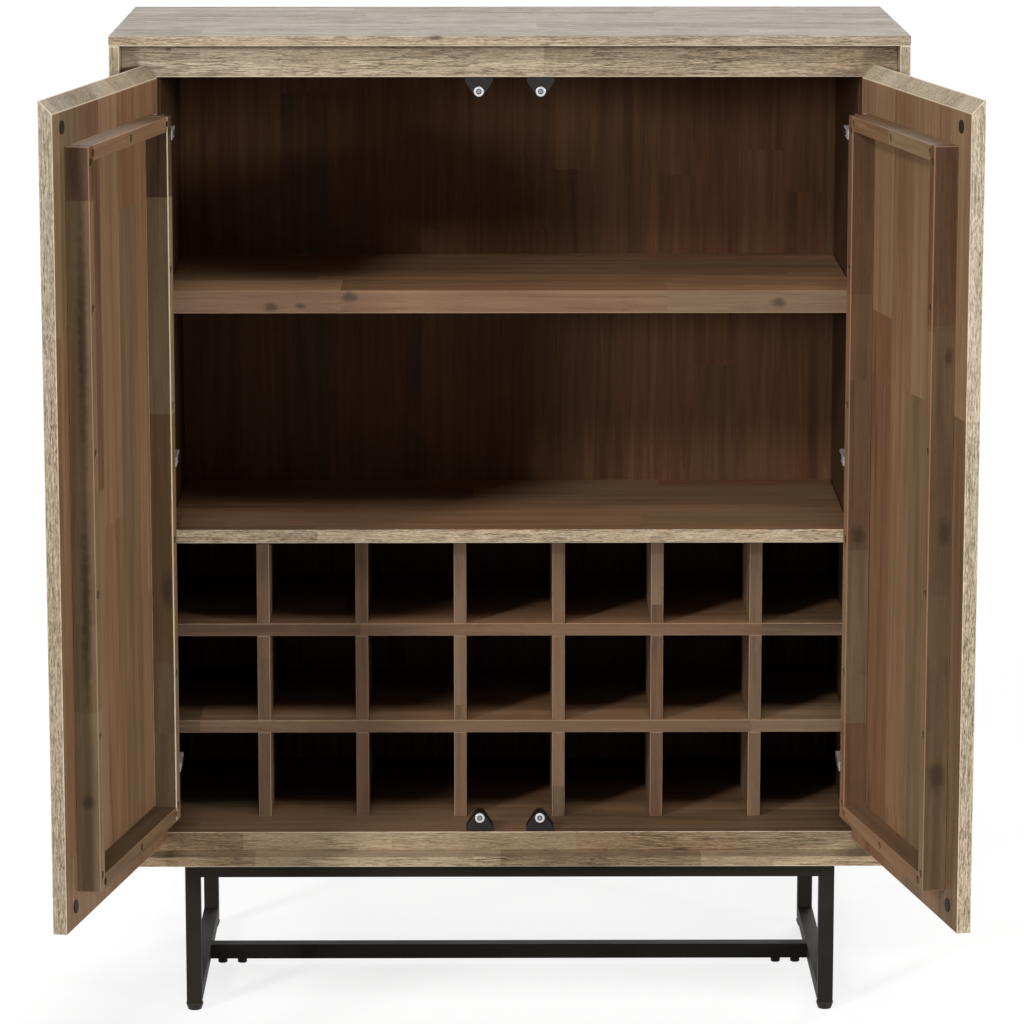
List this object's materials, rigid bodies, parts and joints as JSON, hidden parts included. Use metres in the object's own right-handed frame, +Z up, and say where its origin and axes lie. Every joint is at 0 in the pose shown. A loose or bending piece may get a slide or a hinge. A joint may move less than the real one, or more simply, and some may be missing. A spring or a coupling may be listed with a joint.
{
  "type": "wine cabinet",
  "caption": "Timber wine cabinet on a square-tube steel base, with two hinged doors, open shelves and a grid rack of bottle cells behind them.",
  "frame": {"origin": "on the floor under the middle of the case's footprint", "axes": "+X to the viewer's right when facing the doors, +Y from the front to the back, +Z up"},
  "size_m": [1.0048, 0.8024, 1.159],
  "materials": {
    "weathered_wood": "wire-brushed, matt",
    "door_wood": "smooth, satin oil",
    "interior_wood": "smooth, satin oil",
    "black_steel": "matt powder coat",
    "bright_zinc": "zinc plated",
    "dark_screws": "black oxide",
    "brown_plastic": "moulded, matt",
    "black_plastic": "moulded, matt"
  },
  "bodies": {
    "cabinet": {"top_panel": "weathered_wood", "left_side_panel": "weathered_wood", "right_side_panel": "weathered_wood", "bottom_panel": "weathered_wood", "top_rail": "weathered_wood", "bottom_rail": "weathered_wood", "left_stile": "weathered_wood", "right_stile": "weathered_wood", "back_panel": "interior_wood", "left_inner_side": "interior_wood", "right_inner_side": "interior_wood", "floor_board": "interior_wood", "upper_shelf": "interior_wood", "lower_shelf": "interior_wood", "case_dowels": "interior_wood", "rack_shelf_1": "interior_wood", "rack_shelf_2": "interior_wood", "rack_divider_1": "interior_wood", "rack_divider_2": "interior_wood", "rack_divider_3": "interior_wood", "rack_divider_4": "interior_wood", "rack_divider_5": "interior_wood", "rack_divider_6": "interior_wood", "left_front_leg": "black_steel", "right_front_leg": "black_steel", "left_rear_leg": "black_steel", "right_rear_leg": "black_steel", "left_floor_bar": "black_steel", "right_floor_bar": "black_steel", "left_top_bar": "black_steel", "right_top_bar": "black_steel", "front_top_bar": "black_steel", "rear_top_bar": "black_steel", "stretcher": "black_steel", "hinge_arms": "bright_zinc", "hinge_plates": "bright_zinc", "shelf_pins": "bright_zinc", "catch_magnets": "bright_zinc", "case_screws": "dark_screws", "stretcher_bolts": "dark_screws", "levelling_feet": "black_plastic", "catch_housings": "brown_plastic"},
    "left_door": {"left_door_panel": "door_wood", "left_door_hinge_batten": "door_wood", "left_door_meeting_batten": "door_wood", "left_door_bottom_batten": "door_wood", "left_door_top_batten": "door_wood", "left_hinge_cups": "bright_zinc", "left_hinge_pins": "bright_zinc", "left_strike_plates": "dark_screws", "left_door_screws": "dark_screws"},
    "right_door": {"right_door_panel": "door_wood", "right_door_hinge_batten": "door_wood", "right_door_meeting_batten": "door_wood", "right_door_bottom_batten": "door_wood", "right_door_top_batten": "door_wood", "right_hinge_cups": "bright_zinc", "right_hinge_pins": "bright_zinc", "right_strike_plates": "dark_screws", "right_door_screws": "dark_screws"}
  },
  "joints": [
    {"name": "left_door_hinge", "type": "hinge", "parent": "cabinet", "child": "left_door", "pos_m": [-0.413, -0.1895, 0.6595], "axis": [0, 0, 1], "range_deg": [-3.5, 101.5]},
    {"name": "right_door_hinge", "type": "hinge", "parent": "cabinet", "child": "right_door", "pos_m": [0.413, -0.1895, 0.6595], "axis": [0, 0, 1], "range_deg": [-101.5, 3.5]}
  ]
}
